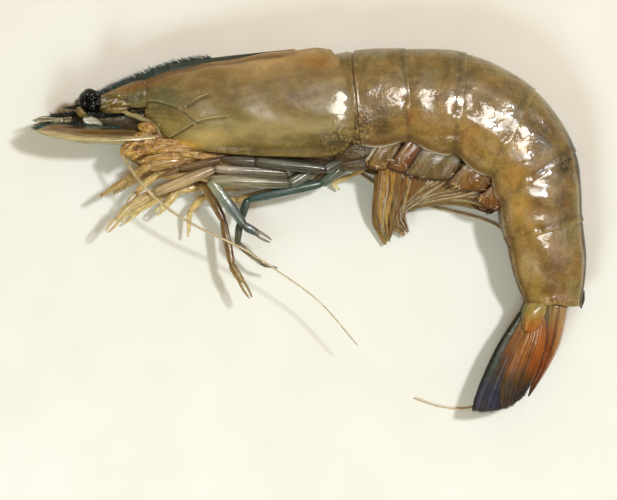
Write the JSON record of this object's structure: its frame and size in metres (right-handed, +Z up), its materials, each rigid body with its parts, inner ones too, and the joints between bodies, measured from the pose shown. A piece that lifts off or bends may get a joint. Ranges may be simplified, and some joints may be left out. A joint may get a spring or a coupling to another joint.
{
  "type": "whole raw western king prawn",
  "caption": "Whole raw king prawn lying on its side: toothed rostrum, eyes, feelers, jointed legs, swimmerets, curled segmented abdomen and tail fan.",
  "frame": {"origin": "under the middle of the animal's box, on the surface it lies on", "axes": "+Z up from the surface, out of the animal's left flank; the head points along -X; the back of the head and trunk faces +Y"},
  "size_m": [0.1538, 0.1012, 0.0201],
  "materials": {
    "head_shell": "wet translucent olive-brown shell",
    "tail_shell": "wet translucent olive and amber shell, smooth and glossy",
    "underside": "moist brown skin in shade",
    "eye": "glossy black cornea",
    "scale": "thin pale buff blade with a stiff outer edge",
    "whip": "ringed pale tan feeler",
    "tan_limb": "wet tan to cream leg shell",
    "blue_limb": "wet blue-grey to teal leg shell",
    "swimmeret": "thin wet amber-brown blades with pale edges",
    "tail_fan": "thin wet blades, yellow-green at the root and orange-red beyond",
    "dark_fan": "thin wet blades, blue-violet with a dark outer edge"
  },
  "bodies": {
    "root": {"carapace": "head_shell", "sternum": "underside", "abdomen_1": "tail_shell", "abdomen_2": "tail_shell", "abdomen_3": "tail_shell", "abdomen_4": "tail_shell", "abdomen_5": "tail_shell", "abdomen_6": "tail_shell", "eye_left": "eye", "eye_right": "eye", "eyestalk_left": "head_shell", "eyestalk_right": "head_shell", "antennal_scale_left": "scale", "antennal_scale_right": "scale", "antennule_left": "scale", "antennule_right": "scale", "antenna_base_left": "tan_limb", "antenna_base_right": "tan_limb", "antenna_left": "whip", "antenna_right": "whip", "maxilliped_left": "tan_limb", "maxilliped_right": "tan_limb", "leg_1_left": "tan_limb", "leg_1_right": "tan_limb", "leg_2_left": "tan_limb", "leg_2_right": "tan_limb", "leg_3_left": "blue_limb", "leg_3_right": "tan_limb", "leg_4_left": "blue_limb", "leg_4_right": "tan_limb", "leg_5_left": "blue_limb", "leg_5_right": "tan_limb", "swimmeret_1_left": "swimmeret", "swimmeret_1_right": "swimmeret", "swimmeret_2_left": "swimmeret", "swimmeret_2_right": "swimmeret", "swimmeret_3_left": "swimmeret", "swimmeret_3_right": "swimmeret", "swimmeret_4_left": "swimmeret", "swimmeret_4_right": "swimmeret", "swimmeret_5_left": "swimmeret", "swimmeret_5_right": "swimmeret", "telson": "tail_fan", "fan_stem_left": "tail_fan", "fan_stem_right": "tail_fan", "fan_inner_left": "tail_fan", "fan_inner_right": "tail_fan", "fan_outer_left": "dark_fan", "fan_outer_right": "dark_fan"}
  },
  "joints": []
}
